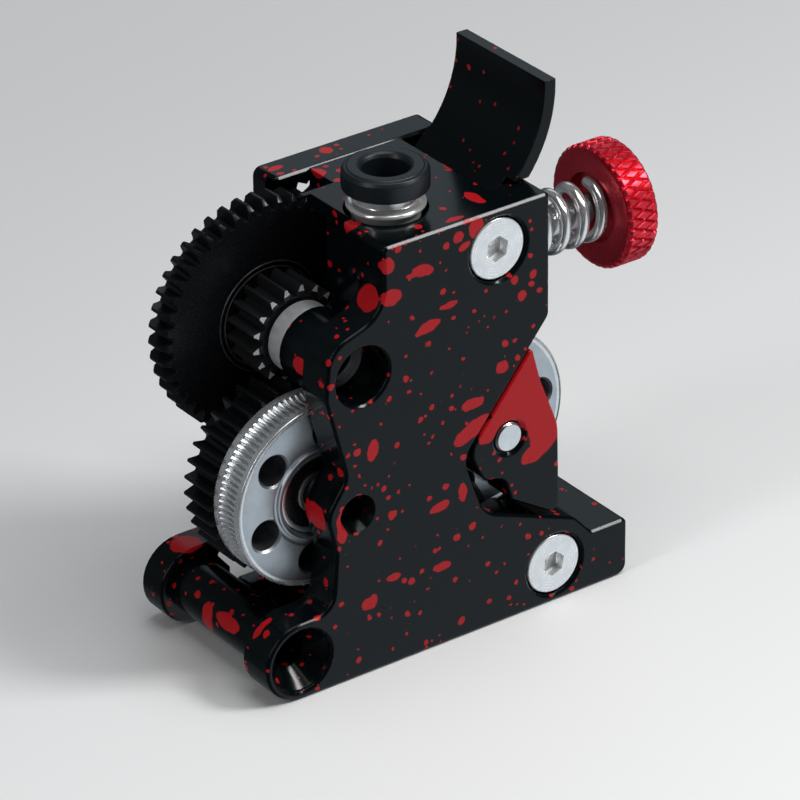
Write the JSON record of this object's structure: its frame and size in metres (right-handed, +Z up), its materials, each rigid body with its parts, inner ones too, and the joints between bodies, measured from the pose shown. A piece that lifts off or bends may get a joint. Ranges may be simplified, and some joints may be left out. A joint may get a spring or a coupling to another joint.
{
  "type": "extruder gear assembly",
  "caption": "Dual-gear filament extruder: black machined housing, geared hobbed wheels, hinged idler arm with thumb tab, sprung red knurled knob and push-fit collet.",
  "frame": {"origin": "under the middle of the whole object, on the housing's underside", "axes": "+Z up against the feed direction, +Y from the front plate to the motor side, along every gear axis; +X towards the tension knob"},
  "size_m": [0.0478, 0.0204, 0.0519],
  "materials": {
    "black_anodised": "satin black anodised, flecked with red splatter",
    "red_anodised": "satin red anodised, knurled",
    "bright_steel": "polished",
    "satin_steel": "satin turned",
    "bearing_steel": "ground, with dark shields",
    "black_steel": "black oxide",
    "dark_plastic": "fine matte",
    "black_rubber": "matte",
    "white_plastic": "waxy white"
  },
  "bodies": {
    "housing": {"front_body": "black_anodised", "rear_plate": "black_anodised", "upper_screw": "bright_steel", "lower_screw": "bright_steel", "drive_shaft": "bright_steel", "compound_front_bearing": "bearing_steel", "compound_rear_bearing": "bearing_steel", "collet_body": "bright_steel", "collet_seal": "black_rubber", "inlet_liner": "white_plastic", "outlet_liner": "white_plastic"},
    "drive_wheel": {"drive_hob_wheel": "satin_steel", "drive_gear": "black_steel", "drive_front_bearing": "bearing_steel", "drive_rear_bearing": "bearing_steel"},
    "compound_gear": {"big_gear": "black_steel", "pinion": "black_steel", "compound_shaft": "bright_steel"},
    "arm": {"idler_arm": "black_anodised", "idler_pin": "bright_steel"},
    "idler_wheel": {"idler_hob_wheel": "satin_steel", "idler_gear": "black_steel", "idler_front_bearing": "bearing_steel", "idler_rear_bearing": "bearing_steel"},
    "collet_button": {"collet_cap": "dark_plastic", "collet_jaws": "satin_steel"},
    "spring_seat": {"tension_spring": "bright_steel"},
    "knob": {"thumb_knob": "red_anodised", "tension_screw": "bright_steel"}
  },
  "joints": [
    {"name": "drive_spin", "type": "hinge", "parent": "housing", "child": "drive_wheel", "pos_m": [-0.0144, 0, 0.0176], "axis": [0, 1, 0], "continuous": true},
    {"name": "compound_spin", "type": "hinge", "parent": "housing", "child": "compound_gear", "pos_m": [-0.0124, 0, 0.03069], "axis": [0, 1, 0], "continuous": true},
    {"name": "arm_pivot", "type": "hinge", "parent": "housing", "child": "arm", "pos_m": [0.009, 0, 0.00384], "axis": [0, 1, 0], "range_deg": [0, 6], "stiffness_Nm_per_rad": 0.5, "springref_deg": -11.46, "deforming": ["tension_spring"]},
    {"name": "idler_spin", "type": "hinge", "parent": "arm", "child": "idler_wheel", "pos_m": [0.0038, 0, 0.01904], "axis": [0, 1, 0], "continuous": true},
    {"name": "collet_press", "type": "slide", "parent": "housing", "child": "collet_button", "axis": [0, 0, -1], "range_m": [0, 0.0008], "stiffness_N_per_m": 500, "springref_m": -0.0005},
    {"name": "knob_travel", "type": "slide", "parent": "housing", "child": "spring_seat", "axis": [1, 0, 0], "range_m": [-0.0005, 0.0005], "deforming": ["tension_spring"]},
    {"name": "knob_turn", "type": "hinge", "parent": "spring_seat", "child": "knob", "pos_m": [0.02, -0.0006, 0.0336], "axis": [1, 0, 0], "range_deg": [-361, 361]}
  ],
  "couplings": [
    {"joint": "compound_spin", "follows": "drive_spin", "ratio": -2.1176},
    {"joint": "idler_spin", "follows": "drive_spin", "ratio": -1},
    {"joint": "knob_turn", "follows": "knob_travel", "rad_per_m": 12566}
  ]
}
